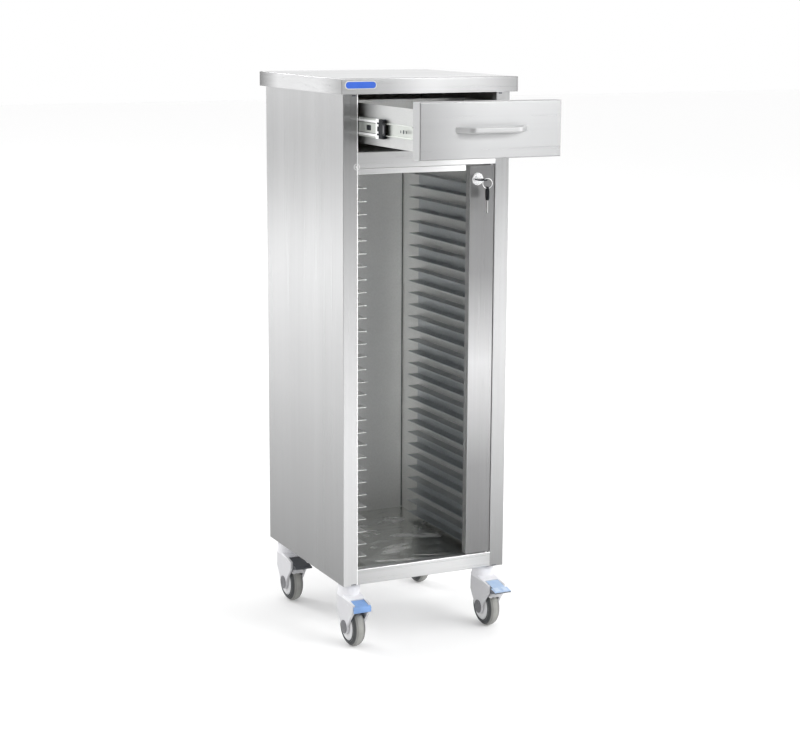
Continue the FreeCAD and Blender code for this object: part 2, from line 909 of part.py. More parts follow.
def bow_outline(across, near, far, half, tip):
    """A key's bow along a line from near to far: square at the blade, rounded off at the far end."""
    way = 1 if float(far) > float(near) else -1
    waist = near + way * D["bow_taper"]
    crown = far - way * D["bow_crown"]
    shoulder = D["bow_shoulder"]
    return [
        (across - shoulder, near),
        (across - half, waist),
        (across - half, crown),
        (across - tip, far),
        (across + tip, far),
        (across + half, crown),
        (across + half, waist),
        (across + shoulder, near),
    ]


def turned_key():
    """The key in the lock: its plastic bow, and its blade in the plug's keyway."""
    near = FRONT - D["lock_proud"] - D["bow_gap"]
    far = near - D["bow_long"]
    across, height = lock_centre()
    bow = new_body("turned_key_bow")
    foot = height - D["bow_thick"] / 2
    head = height + D["bow_thick"] / 2
    pad(bow, "XY", foot, head, draw_outline, bow_outline(across, near, far, D["bow_width"] / 2, 7.5))
    edge = far + D["slot_margin"]
    low = (across - D["slot_half"], edge)
    high = (across + D["slot_half"], edge + D["slot_deep"])
    pocket(bow, "XY", foot - 1, head + 1, draw_rectangle, low, high)
    blade = new_body("turned_key_blade")
    wide = D["blade_width"] / 2
    thick = D["blade_thick"] / 2
    low = (across - wide, height - thick)
    high = (across + wide, height + thick)
    pad(blade, "XZ", near, plug_end() - 3, draw_rectangle, low, high)


def about(x, y, z, degrees):
    """A turn about an axis through a sub-part's own origin."""
    return FreeCAD.Rotation(FreeCAD.Vector(x, y, z), float(degrees))


def key_ring():
    """The split ring that hangs in the bow's slot."""
    torus = doc.addObject("Part::Torus", "key_ring")
    torus.Label = "key_ring"
    bind(torus, "Radius1", D["ring_radius"])
    bind(torus, "Radius2", D["ring_wire"])
    turn = about(0, 0, 1, D["ring_turn"]).multiply(about(1, 0, 0, 90))
    put(torus, D["ring_across"], PLAN_SHIFT - D["ring_deep"], D["ring_height"], turn)


def hanging_body(label):
    """A body whose origin is where the ring's wire carries it, turned with the ring."""
    height = D["ring_height"] - D["ring_radius"] + D["ring_wire"]
    deep = PLAN_SHIFT - D["ring_deep"]
    return new_body(label, D["ring_across"], deep, height, about(0, 0, 1, D["ring_turn"]))


def spare_key():
    """The second key, hanging edge-on from the ring: bow and blade."""
    half = D["bow_width"] / 2 - 0.5
    head = D["spare_rise"]
    neck = head - D["spare_long"]
    thick = D["bow_thick"]
    bow = hanging_body("spare_key_bow")
    pad(bow, "YZ", -thick / 2, thick / 2, draw_outline, bow_outline(0.0, neck, head, half, 6.0))
    eye = (0.0, -D["eye_drop"])
    pocket(bow, "YZ", -thick / 2 - 1, thick / 2 + 1, draw_circle, eye, D["eye_radius"])
    blade = hanging_body("spare_key_blade")
    wide = D["blade_width"] / 2
    deep = D["blade_thick"]
    low = (-wide, neck - D["spare_blade"])
    pad(blade, "YZ", -deep / 2, deep / 2, draw_rectangle, low, (wide, neck))


# ---------------------------------------------------------------- castors


def castor_places():
    """Where the castor stems stand, front left first."""
    across = D["castor_across"]
    along = D["castor_along"]
    return [(-across, -along), (across, -along), (-across, along), (across, along)]


def stem_hole():
    """A hole that a castor stem passes freely."""
    return D["stem_radius"] + D["stem_play"]


def caster_plates():
    """The plates over the base panel that the castor stems pass through."""
    body = new_body("caster_plates")
    low = D["cabinet_foot"] + D["sheet"]
    high = low + D["plate_thick"]
    side = D["plate_side"]
    for x, y in castor_places():
        inward = 1 if y < 0 else -1
        near = y - inward * D["plate_inset"]
        right = x + side / 2
        rows = sorted((near, near + inward * side), key=float)
        pad(body, "XY", low, high, draw_rectangle, (right - side, rows[0]), (right, rows[1]))
        pocket(body, "XY", low - 1, high + 1, draw_circle, (x, y), stem_hole())


def caster_stems():
    """The four stems, each with a collar that the swivel head turns under."""
    body = new_body("caster_stems")
    foot = D["cabinet_foot"]
    for place in castor_places():
        pad(body, "XY", foot - D["stem_below"], foot + D["stem_above"], draw_circle, place, D["stem_radius"])
        collar = D["head_radius"] - D["collar_inset"]
        pad(body, "XY", foot - D["collar_tall"], foot, draw_circle, place, collar)


def caster_nuts():
    """A hexagon nut over each plate."""
    body = new_body("caster_nuts")
    low = D["cabinet_foot"] + D["sheet"] + D["plate_thick"]
    high = low + D["hex_tall"]
    corner = D["hex_flats"] / math.cos(math.radians(30)) / 2
    for x, y in castor_places():
        corners = []
        for step in range(6):
            angle = math.radians(60 * step)
            corners.append((x + corner * math.cos(angle), y + corner * math.sin(angle)))
        pad(body, "XY", low, high, draw_outline, corners)
        pocket(body, "XY", low - 1, high + 1, draw_circle, (x, y), D["stem_radius"])


def fork(label, x, y):
    """A moulded fork: swivel head, sloping roof and two cheeks that narrow to the axle."""
    body = new_body(label, x, y)
    half = D["fork_width"] / 2
    axle = (-D["castor_trail"], D["wheel_radius"])
    head_foot = D["head_level"]
    head_top = D["cabinet_foot"] - D["head_gap"]
    cheek = [
        (19.0, head_foot + 6),
        (20.5, 86.0),
        (2.0, 60.0),
        (axle[0] + 12.0, 34.5),
        (axle[0] - 12.0, 34.5),
        (axle[0] - 19.0, 58.0),
        (-57.0, 79.0),
        (-74.0, 99.0),
        (-75.0, 117.5),
        (-8.0, 130.0),
    ]
    pad(body, "YZ", -half, half, draw_outline, cheek)
    pad(body, "YZ", -half, half, draw_circle, axle, D["cap_radius"] + D["boss_wall"])
    pad(body, "XY", head_foot, head_top, draw_circle, (0.0, 0.0), D["head_radius"])
    gap = D["fork_gap"] / 2
    wheel_room = D["wheel_radius"] + D["wheel_play"]
    pocket(body, "YZ", -gap, gap, draw_circle, axle, wheel_room)
    pedal_room = [
        (-38.0, 90.0),
        (-38.0, 119.8),
        (-45.0, 119.8),
        (-45.0, 140.0),
        (-95.0, 140.0),
        (-95.0, 60.0),
        (-66.0, 60.0),
    ]
    pocket(body, "YZ", -gap, gap, draw_outline, pedal_room)
    stem = D["stem_radius"] + D["pin_play"]
    pocket(body, "XY", head_foot - 1, head_top + 1, draw_circle, (0.0, 0.0), stem)
    pocket(body, "YZ", -half - 1, half + 1, draw_circle, axle, D["bore_radius"])
    pocket(body, "YZ", -half - 1, half + 1, draw_circle, pedal_pivot(), D["pedal_pin"])


def pedal_pivot():
    """The pedal's pin, ahead of the stem and above the floor."""
    return -D["pedal_ahead"], D["pedal_height"]


def axle_set(label, x, y):
    """The axle bolt with a round cap over each end, and the pin that the pedal turns on."""
    body = new_body(label, x, y)
    axle = (-D["castor_trail"], D["wheel_radius"])
    half = D["fork_width"] / 2
    pad(body, "YZ", -half, half, draw_circle, axle, D["bore_radius"])
    for start in (-half - D["cap_thick"], half):
        pad(body, "YZ", start, start + D["cap_thick"], draw_circle, axle, D["cap_radius"])
    pad(body, "YZ", -half, half, draw_circle, pedal_pivot(), D["pedal_pin"])


def wheel_core(label, x, y):
    """The wheel's plastic core with a hub, bored for the axle."""
    body = new_body(label, x, y - D["castor_trail"], D["wheel_radius"])
    half = D["hub_width"] / 2
    seat = D["core_radius"]
    bore = D["bore_radius"] + D["pin_play"]
    corners = [
        (-half, bore),
        (half, bore),
        (half, seat - 4),
        (half - 2.5, seat - 1),
        (half - 4, seat),
        (4 - half, seat),
        (2.5 - half, seat - 1),
        (-half, seat - 4),
    ]
    revolve(body, "XZ", "H_Axis", corners)


def tyre(label, x, y):
    """The grey tyre with its rounded tread."""
    body = new_body(label, x, y - D["castor_trail"], D["wheel_radius"])
    rim = D["core_radius"]
    half = D["tread_width"] / 2
    drop = D["wheel_radius"] - rim
    steps = 9
    corners = [(half - 3.5, rim)]
    for step in range(steps):
        angle = math.radians(8 + (180 - 16) * step / (steps - 1))
        corners.append((half * math.cos(angle), rim + drop * math.sin(angle)))
    corners.append((3.5 - half, rim))
    revolve(body, "XZ", "H_Axis", corners)


RAISED_PEDAL = {
    "side": [(-4, 10.5), (-63, -2.8), (-62.5, -6), (-24, -16), (-14, -12), (-6, -4), (3, -4), (4, 3)],
    "hollow": [(-9, 5.6), (-58, -5.4), (-58, -20), (-9, -20)],
    "toe": [(-40, 2.4), (-63, -2.8), (-62.5, -6), (-40, -2)],
}
PRESSED_PEDAL = {
    "side": [
        (-4, 9.5),
        (-33, 2.3),
        (-35, 0),
        (-35.8, -4),
        (-35.3, -9),
        (-34.3, -12.5),
        (-24, -15),
        (-14, -12),
        (-6, -4),
        (3, -4),
        (4, 3),
    ],
    "hollow": [(-9, 4.8), (-31.5, -1.5), (-31.5, -20), (-9, -20)],
    "toe": [
        (-30.5, 2.9),
        (-33, 2.3),
        (-35, 0),
        (-35.8, -4),
        (-35.3, -9),
        (-34.3, -12.5),
        (-31, -12.5),
    ],
}


def brake_pedal(label, x, y, shape):
    """A pedal hinged in the fork: a plate with two skirts that widens into a toe ahead of the cheeks."""
    body = new_body(label, x, y - D["pedal_ahead"], D["pedal_height"])
    half = D["pedal_width"] / 2
    toe = D["toe_width"] / 2
    inside = half - D["pedal_skirt"]
    pad(body, "YZ", -half, half, draw_outline, shape["side"])
    pad(body, "YZ", -toe, toe, draw_outline, shape["toe"])
    pocket(body, "YZ", -inside, inside, draw_outline, shape["hollow"])
    pad(body, "YZ", -half, half, draw_circle, (0.0, 0.0), D["pedal_pin"] + D["knuckle_wall"])
    bore = D["pedal_pin"] + D["pin_play"]
    pocket(body, "YZ", -half - 1, half + 1, draw_circle, (0.0, 0.0), bore)


def castor(prefix, x, y, pedal):
    """One whole braked castor."""
    place_y = y + PLAN_SHIFT
    fork(f"{prefix}_fork", x, place_y)
    axle_set(f"{prefix}_axle", x, place_y)
    wheel_core(f"{prefix}_wheel_core", x, place_y)
    tyre(f"{prefix}_tyre", x, place_y)
    brake_pedal(f"{prefix}_brake_pedal", x, place_y, pedal)


# ---------------------------------------------------------------- building and writing


def build_cabinet():
    """Everything that stays with the shell."""
    side_panel("left_side_panel", -1)
    side_panel("right_side_panel", 1)
    back_panel()
    tray("floor_pan", D["floor_level"])
    tray("divider_shelf", D["divider_level"])
    cross_rail("bottom_rail", D["cabinet_foot"], D["floor_level"])
    divider_rail()
    stop_strip()
    base_panel()
    liner("left_liner", -1)
    liner("right_liner", 1)
    chart_rails("left_chart_rails", -1)
    chart_rails("right_chart_rails", 1)
    worktop()
    worktop_core()
    slide_brackets()
    slide_outer("left_slide_outer", -1)
    slide_outer("right_slide_outer", 1)
    bar_hinge_pins()
    caster_plates()
    caster_stems()
    caster_nuts()


def build_drawer():
    """The drawer, with the slide members that move."""
    drawer_front()
    drawer_box()
    drawer_handle()
    slide_inner("left_slide_inner", -1)
    slide_inner("right_slide_inner", 1)
    slide_middle("left_slide_middle", -1)
    slide_middle("right_slide_middle", 1)
    slide_bumpers()


def build_lock():
    """The lock bar, its lock and the keys."""
    lock_bar()
    lock_housing()
    lock_nut()
    lock_plug()
    lock_cam()
    turned_key()
    key_ring()
    spare_key()


def build_castors():
    """The four castors; the front left brake is pressed."""
    pedals = {"front_left": PRESSED_PEDAL}
    names = ("front_left", "front_right", "rear_left", "rear_right")
    for prefix, (x, y) in zip(names, castor_places()):
        castor(prefix, x, y, pedals.get(prefix, RAISED_PEDAL))


def sub_parts():
    """The finished objects that each make one file."""
    return [
        item
        for item in doc.Objects
        if item.TypeId in ("PartDesign::Body", "Part::Torus")
    ]


def check_document():
    """Stop if any object failed or any sub-part has no valid solid."""
    for item in doc.Objects:
        if "Invalid" in item.State or "Error" in item.State:
            raise ValueError(f"{item.Label} failed: {item.State}")
    for item in sub_parts():
        shape = item.Shape
        if shape.isNull() or not shape.isValid() or not shape.Solids:
            raise ValueError(f"{item.Label} has no valid solid")


def write_parts():
    """One STEP file for each sub-part."""
    os.makedirs("parts", exist_ok=True)
    for item in sub_parts():
        item.Shape.exportStep(f"parts/{item.Label}.step")
        print(f"{item.Label}: {len(item.Shape.Solids)} solids, {item.Shape.Volume / 1000:.1f} cm3")


build_cabinet()
build_drawer()
build_lock()
build_castors()
doc.recompute()
check_document()
write_parts()
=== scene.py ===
import json
import math
from collections import namedtuple

import bmesh
import bpy
from mathutils import Matrix, Vector

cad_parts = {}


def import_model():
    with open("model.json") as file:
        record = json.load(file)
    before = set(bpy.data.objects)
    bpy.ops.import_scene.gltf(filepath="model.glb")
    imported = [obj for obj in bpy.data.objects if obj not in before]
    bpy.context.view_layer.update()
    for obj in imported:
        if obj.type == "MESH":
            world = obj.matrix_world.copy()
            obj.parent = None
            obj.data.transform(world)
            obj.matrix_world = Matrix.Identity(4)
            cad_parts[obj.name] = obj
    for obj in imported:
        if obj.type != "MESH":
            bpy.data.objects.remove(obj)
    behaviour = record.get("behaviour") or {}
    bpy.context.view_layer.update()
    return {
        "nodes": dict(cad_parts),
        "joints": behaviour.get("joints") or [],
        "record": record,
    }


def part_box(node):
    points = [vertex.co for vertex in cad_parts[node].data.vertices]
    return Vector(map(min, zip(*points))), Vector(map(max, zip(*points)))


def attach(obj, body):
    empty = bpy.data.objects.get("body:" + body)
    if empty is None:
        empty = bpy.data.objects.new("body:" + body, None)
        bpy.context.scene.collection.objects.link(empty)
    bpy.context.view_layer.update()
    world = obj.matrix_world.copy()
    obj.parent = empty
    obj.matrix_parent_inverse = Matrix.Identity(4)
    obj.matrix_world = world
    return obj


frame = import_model()
NODES = frame["nodes"]

SIDES = (("left", -1), ("right", 1))
WHEEL_SIDES = (("outer", -1), ("inner", 1))
UP_AND_DOWN = ((0, 1), (1, -1))
CASTORS = ("front_left", "front_right", "rear_left", "rear_right")

# Each raised pedal's slot, and the finish of the pads on it.
RAISED_PEDALS = {
    "front_right": ("pedal_pale_blue", "pad_blue"),
    "rear_left": ("pedal_charcoal", "pedal_charcoal"),
    "rear_right": ("pedal_charcoal", "pedal_charcoal"),
}

# ---------------------------------------------------------------- node helpers


class Tree:
    """A material's node tree with short ways to add nodes."""

    def __init__(self, name):
        self.material = bpy.data.materials.new(name)
        self.material.use_nodes = True
        self.nodes = self.material.node_tree.nodes
        self.links = self.material.node_tree.links
        self.shader = self.nodes["Principled BSDF"]

    def add(self, kind, **settings):
        item = self.nodes.new(kind)
        for key, value in settings.items():
            setattr(item, key, value)
        return item

    def link(self, source, target):
        self.links.new(source, target)

    def set(self, **values):
        """Plain values for the shader's sockets, with underscores for the spaces in their names."""
        for key, value in values.items():
            self.shader.inputs[key.replace("_", " ")].default_value = value

    def paint(self, colour):
        self.link(colour, self.shader.inputs["Base Color"])

    def roughen(self, roughness):
        self.link(roughness, self.shader.inputs["Roughness"])

    def place(self, scale):
        """Object coordinates, stretched."""
        where = self.add("ShaderNodeTexCoord")
        mapping = self.add("ShaderNodeMapping")
        mapping.inputs["Scale"].default_value = scale
        self.link(where.outputs["Object"], mapping.inputs["Vector"])
        return mapping.outputs["Vector"]

    def facing(self, letter, output="Normal"):
        """One part of the object's own normal, or of its own coordinates, which move with the piece."""
        parts = self.add("ShaderNodeSeparateXYZ")
        self.link(self.add("ShaderNodeTexCoord").outputs[output], parts.inputs[0])
        return parts.outputs[letter]

    def noise(self, scale=(1, 1, 1), detail=3.0, rough=0.5, size=1.0, twist=0.0):
        """Noise from 0 to 1 over stretched object coordinates."""
        item = self.add("ShaderNodeTexNoise")
        item.inputs["Scale"].default_value = size
        item.inputs["Detail"].default_value = detail
        item.inputs["Roughness"].default_value = rough
        item.inputs["Distortion"].default_value = twist
        self.link(self.place(scale), item.inputs["Vector"])
        return item.outputs["Fac"]

    def spread(self, factor, low, high, start=0.3, end=0.7):
        """The factor's stretch from start to end spread from low to high."""
        item = self.add("ShaderNodeMapRange", clamp=True)
        for key, value in (("From Min", start), ("From Max", end), ("To Min", low), ("To Max", high)):
            item.inputs[key].default_value = value
        self.link(factor, item.inputs["Value"])
        return item.outputs["Result"]

    def maths(self, kind, first, second):
        """Two numbers or outputs put together."""
        item = self.add("ShaderNodeMath", operation=kind)
        for socket, value in zip(item.inputs, (first, second)):
            if isinstance(value, (int, float)):
                socket.default_value = value
            else:
                self.link(value, socket)
        return item.outputs["Value"]

    def average(self, first, second):
        return self.maths("MULTIPLY", self.maths("ADD", first, second), 0.5)

    def mix(self, factor, first, second):
        """Colours mixed by a factor; each may be a colour or an output."""
        item = self.add("ShaderNodeMix", data_type="RGBA")
        self.link(factor, item.inputs[0])
        for socket, value in ((item.inputs[6], first), (item.inputs[7], second)):
            if isinstance(value, tuple):
                socket.default_value = (*value, 1.0)
            else:
                self.link(value, socket)
        return item.outputs[2]

    def bump(self, height, strength, distance):
        """Bumps added to those already there."""
        item = self.add("ShaderNodeBump")
        item.inputs["Strength"].default_value = strength
        item.inputs["Distance"].default_value = distance
        self.link(height, item.inputs["Height"])
        socket = self.shader.inputs["Normal"]
        if socket.is_linked:
            self.link(socket.links[0].from_socket, item.inputs["Normal"])
        self.link(item.outputs["Normal"], socket)

    def comb(self, run):
        """The shader's tangent, at right angles to the way the brushing runs."""
        turn = self.add("ShaderNodeVectorMath", operation="CROSS_PRODUCT")
        turn.inputs[1].default_value = run
        self.link(self.add("ShaderNodeNewGeometry").outputs["Normal"], turn.inputs[0])
        self.link(turn.outputs["Vector"], self.shader.inputs["Tangent"])

    def add_painted_shade(self, body, painted_shade):
        """A colour darkened by painted shade."""
        faces = self.spread(self.facing(painted_shade.against), low=0.0, high=1.0, start=-0.5, end=-0.9)
        where = self.facing(painted_shade.along, "Object")
        faded = self.spread(where, low=painted_shade.amount, high=0.0, start=painted_shade.start, end=painted_shade.end)
        return self.mix(self.maths("MULTIPLY", faces, faded), body, (0.0, 0.0, 0.0))

    def pitted(self, smooth, rough, strength=0.1, size=1400.0):
        """A fine spark-eroded grain, between two roughnesses."""
        pits = self.noise(detail=2.0, size=size)
        self.roughen(self.spread(pits, smooth, rough))
        self.bump(pits, strength, distance=0.0003)


def scaled(colour, amount):
    return tuple(min(1.0, part * amount) for part in colour)


def shades(colour, contrast):
    """A darker and a lighter shade of a colour."""
    return scaled(colour, 1 - contrast), scaled(colour, 1 + contrast)


def coarser(scale, amount):
    """A noise's scale made coarser, down to a limit."""
    coarsest = 0.8
    return tuple(max(coarsest, part * amount) for part in scale)


# ---------------------------------------------------------------- materials

# The way the brushing runs, and the scale of its noise along each axis.
Grain = namedtuple("Grain", "run across")

# Painted shade: an amount of brightness taken off the faces that look against one axis, for darker
# reflections there. It fades out along an axis, between a start and an end in the object's own metres.
PaintedShade = namedtuple("PaintedShade", "against along start end amount")

ALONG_Z = Grain(run=(0.04, 0.04, 1.0), across=(900.0, 900.0, 3.0))
ALONG_X = Grain(run=(1.0, 0.2, 0.04), across=(3.0, 60.0, 900.0))


def brushed(name, colour, grain=ALONG_Z, rough=0.3, anisotropy=0.8, contrast=0.05, painted_shades=()):
    """Brushed stainless steel: fine lines along the grain, faint broad streaks, a little waviness, and any
    painted shade given.
    """
    tree = Tree(name)
    fine = tree.noise(grain.across, detail=2.0)
    lines = tree.noise(coarser(grain.across, 0.18), detail=4.0, rough=0.6)
    broad = tree.noise(coarser(grain.across, 0.016), detail=2.0)
    shade = tree.spread(tree.average(lines, broad), low=0.0, high=1.0, start=0.35, end=0.65)
    body = tree.mix(shade, *shades(colour, contrast))
    # Painted shade: faces darkened where given, standing in for darker reflections.
    for painted_shade in painted_shades:
        body = tree.add_painted_shade(body, painted_shade)
    tree.paint(body)
    tree.roughen(tree.spread(tree.average(fine, lines), rough * 0.85, rough * 1.2))
    tree.set(Metallic=1.0, Anisotropic=anisotropy)
    tree.comb(grain.run)
    tree.bump(tree.noise((2.2, 2.2, 1.6), detail=1.0), strength=0.25, distance=0.004)
    tree.bump(lines, strength=0.08, distance=0.0004)
    return tree.material


def milled(name, colour, rough=0.35, contrast=0.12, size=60.0, metal=1.0, rear=None):
    """Unbrushed sheet with a mottled mill finish, and another colour on faces that look rearward."""
    tree = Tree(name)
    cloud = tree.noise(detail=5.0, rough=0.6, size=size / 8)
    grain = tree.noise(detail=3.0, size=size * 8)
    shade = tree.spread(tree.average(cloud, grain), low=0.0, high=1.0, start=0.35, end=0.65)
    body = tree.mix(shade, *shades(colour, contrast))
    if rear:
        outside = tree.mix(shade, *shades(rear, contrast))
        rearward = tree.spread(tree.facing("Y"), low=0.0, high=1.0, start=-0.1, end=0.1)
        body = tree.mix(rearward, body, outside)
    tree.paint(body)
    tree.roughen(tree.spread(cloud, rough * 0.8, rough * 1.25))
    tree.set(Metallic=metal)
    tree.bump(grain, strength=0.12, distance=0.0004)
    return tree.material


def moulded(name, colour, rough=0.42, contrast=0.05, coat=0.0, shine=0.5):
    """Moulded plastic with a fine spark-eroded grain."""
    tree = Tree(name)
    cloud = tree.spread(tree.noise(size=38.0), low=0.0, high=1.0)
    tree.paint(tree.mix(cloud, *shades(colour, contrast)))
    tree.set(Coat_Weight=coat, Specular_IOR_Level=shine)
    tree.pitted(rough * 0.85, rough * 1.15)
    return tree.material


def polished(name, colour, rough, contrast=0.05):
    """Plated or dressed metal with faint scuffs."""
    tree = Tree(name)
    scuffs = tree.noise(detail=5.0, rough=0.7, size=420.0)
    tree.paint(tree.mix(tree.spread(scuffs, low=0.0, high=1.0), *shades(colour, contrast)))
    tree.roughen(tree.spread(scuffs, rough * 0.7, rough * 1.5))
    tree.set(Metallic=1.0)
    tree.bump(scuffs, strength=0.05, distance=0.0002)
    return tree.material


def swirled(name, colour, painted_reflection_colour=(0.86, 0.86, 0.85), rough=0.16):
    """Bright-annealed sheet with swirling bumps, and pale, less metallic swirls in its colour that paint a
    cloudy, swirling reflection.
    """
    tree = Tree(name)
    swirl = tree.noise((4.5, 9.0, 4.5), detail=4.0, rough=0.6, twist=2.2)
    grain = tree.noise(detail=4.0, size=320.0)
    painted_reflection = tree.spread(swirl, low=0.0, high=0.85, start=0.5, end=0.66)
    tree.paint(tree.mix(painted_reflection, scaled(colour, 0.8), painted_reflection_colour))
    tree.roughen(tree.spread(swirl, low=rough * 1.6, high=rough, start=0.4, end=0.65))
    metal = tree.spread(painted_reflection, low=1.0, high=0.25, start=0.0, end=1.0)
    tree.link(metal, tree.shader.inputs["Metallic"])
    tree.bump(swirl, strength=0.5, distance=0.004)
    tree.bump(grain, strength=0.1, distance=0.0003)
    return tree.material


def tyre(name, side, tread, dust=(0.09, 0.09, 0.09)):
    """Rubber, darker on its sides than on the band that runs on the floor; the difference is partly the
    rubber's own colour and partly painted light on the tread and painted shade on the sides.
    """
    tree = Tree(name)
    cloud = tree.spread(tree.noise(detail=4.0, size=60.0), low=0.0, high=0.2)
    sideways = tree.maths("ABSOLUTE", tree.facing("X"), 0.0)
    flank = tree.spread(sideways, low=0.0, high=1.0, start=0.35, end=0.75)
    tree.paint(tree.mix(cloud, tree.mix(flank, tread, side), dust))
    tree.set(Specular_IOR_Level=0.3)
    tree.pitted(0.4, 0.62, strength=0.12, size=1500.0)
    return tree.material


def two_level(name, lower, upper, height):
    """Moulded plastic in one colour up to a height, and in another above it."""
    tree = Tree(name)
    blend = 0.002
    cloud = tree.spread(tree.noise(size=60.0), low=0.0, high=0.2)
    where = tree.facing("Z", "Object")
    level = tree.spread(where, low=0.0, high=1.0, start=height - blend, end=height + blend)
    tree.paint(tree.mix(cloud, tree.mix(level, lower, upper), scaled(upper, 0.6)))
    tree.pitted(0.36, 0.5)
    return tree.material


def top_and_shaded_sides(name, top, side, worn=(0.9, 0.92, 0.95)):
    """Moulded plastic with a slightly worn top and darker sides, the darkness of the sides being painted
    shade.
    """
    tree = Tree(name)
    upward = tree.spread(tree.facing("Z"), low=0.0, high=1.0, start=0.3, end=0.5)
    wear = tree.spread(tree.noise(size=90.0), low=0.0, high=0.14)
    tree.paint(tree.mix(wear, tree.mix(upward, side, top), worn))
    tree.pitted(0.36, 0.5)
    return tree.material


TOP_LOW, TOP_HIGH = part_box("worktop")
# A fade that starts above the trolley leaves its painted shade even.
OVERHEAD = {"along": "Z", "start": 2.0, "end": 3.0}

# Painted shade on the outer sheets: faces darkened evenly, towards ends, tops and bottoms, and in bands,
# for darker reflections.
WORKTOP_PAINTED_SHADE = (
    PaintedShade(against="Y", along="X", start=TOP_LOW.x + 0.12, end=TOP_LOW.x + 0.24, amount=0.26),
    PaintedShade(against="Y", along="X", start=TOP_HIGH.x, end=TOP_HIGH.x - 0.25, amount=0.62),
    PaintedShade(against="X", along="Y", start=TOP_LOW.y, end=TOP_LOW.y + 0.12, amount=0.45),
    PaintedShade(against="X", along="Y", start=TOP_HIGH.y, end=TOP_HIGH.y - 0.12, amount=0.8),
)
RAIL_PAINTED_SHADE = (
    PaintedShade(against="Y", along="X", start=-0.2, end=0.0, amount=0.26),
    PaintedShade(against="Y", along="X", start=0.2, end=0.1, amount=0.25),
)
DRAWER_PAINTED_SHADE = (
    PaintedShade(against="Y", along="X", start=-0.2, end=-0.06, amount=0.26),
    PaintedShade(against="Y", along="X", start=0.2, end=0.0, amount=0.15),
)
HANDLE_PAINTED_SHADE = (PaintedShade(against="Y", amount=0.34, **OVERHEAD),)
LEFT_PAINTED_SHADE = (
    PaintedShade(against="X", amount=0.227, **OVERHEAD),
    PaintedShade(against="X", along="Z", start=0.14, end=0.6, amount=0.36),
    PaintedShade(against="Y", along="Z", start=1.34, end=0.5, amount=0.44),
)
RIGHT_PAINTED_SHADE = (
    PaintedShade(against="Y", along="Z", start=0.14, end=0.75, amount=0.46),
    PaintedShade(against="Y", along="Z", start=1.34, end=1.05, amount=0.2),
)
BAR_PAINTED_SHADE = (
    PaintedShade(against="Y", along="Z", start=1.25, end=1.05, amount=0.2),
    PaintedShade(against="Y", along="Z", start=0.9, end=0.68, amount=0.5),
    PaintedShade(against="Y", along="Z", start=0.42, end=0.68, amount=0.53),
    PaintedShade(against="Y", along="Z", start=0.14, end=0.42, amount=0.25),
)


def brushed_finishes():
    """The outer sheets, each with its own grain and painted shade, in lighter and darker copies of one
    steel that paint light and shade part by part.
    """
    return {
        "shell_steel": brushed("shell_steel", (0.66, 0.662, 0.666), painted_shades=LEFT_PAINTED_SHADE),
        "shell_right_steel": brushed("shell_right_steel", (0.62, 0.622, 0.626), painted_shades=RIGHT_PAINTED_SHADE),
        "rail_steel": brushed("rail_steel", (0.67, 0.672, 0.675), ALONG_X, contrast=0.07, painted_shades=RAIL_PAINTED_SHADE),
        "worktop_steel": brushed("worktop_steel", (0.5, 0.502, 0.505), ALONG_X, contrast=0.03,
                                 painted_shades=WORKTOP_PAINTED_SHADE),
        "drawer_steel": brushed("drawer_steel", (0.365, 0.367, 0.37), ALONG_X, contrast=0.02,
                                painted_shades=DRAWER_PAINTED_SHADE),
        "handle_steel": brushed("handle_steel", (0.64, 0.642, 0.646), ALONG_X, rough=0.5, anisotropy=0.4,
                                contrast=0.02, painted_shades=HANDLE_PAINTED_SHADE),
        "bar_steel": brushed("bar_steel", (0.62, 0.62, 0.626), painted_shades=BAR_PAINTED_SHADE),
    }


def inner_finishes():
    """The unbrushed sheets inside the cabinet and the drawer, and the slides."""
    return {
        "inner_steel": milled("inner_steel", (0.84, 0.845, 0.835), rough=0.42),
        # The lining's near-white colour on its inward faces is painted light inside the cabinet; faces that
        # look rearward take the darker colour.
        "lining_steel": milled("lining_steel", (0.95, 0.955, 0.945), rough=0.5, contrast=0.05, size=30.0,
                               metal=0.88, rear=(0.42, 0.422, 0.425)),
        "floor_steel": swirled("floor_steel", (0.9, 0.91, 0.88)),
        # A darker copy of the inner steel for the drawer box: painted shade.
        "box_steel": milled("box_steel", (0.55, 0.555, 0.55), rough=0.4),
        "ledge_steel": milled("ledge_steel", (0.56, 0.585, 0.6), rough=0.36),
        "slide_zinc": milled("slide_zinc", (0.58, 0.6, 0.57), contrast=0.05),
    }


def metal_finishes():
    """The lock, the keys, the fixings, and the dressed, scorched and folded spots."""
    return {
        "lock_chrome": polished("lock_chrome", (0.92, 0.92, 0.93), rough=0.28),
        "lock_brass": polished("lock_brass", (0.7, 0.62, 0.4), rough=0.3),
        "fixing_steel": polished("fixing_steel", (0.6, 0.6, 0.6), rough=0.3),
        "key_steel": polished("key_steel", (0.75, 0.75, 0.74), rough=0.35),
        "weld_steel": polished("weld_steel", (0.8, 0.8, 0.8), rough=0.4, contrast=0.15),
        # Near-white edge_steel paints highlights on the stile and slide ribs; dark seam_steel paints shade
        # in the slide grooves and also marks real seams.
        "edge_steel": polished("edge_steel", (0.97, 0.97, 0.97), rough=0.45, contrast=0.02),
        "scorched_steel": polished("scorched_steel", (0.13, 0.135, 0.15), rough=0.35, contrast=0.3),
        "seam_steel": polished("seam_steel", (0.2, 0.2, 0.2), rough=0.4, contrast=0.2),
    }


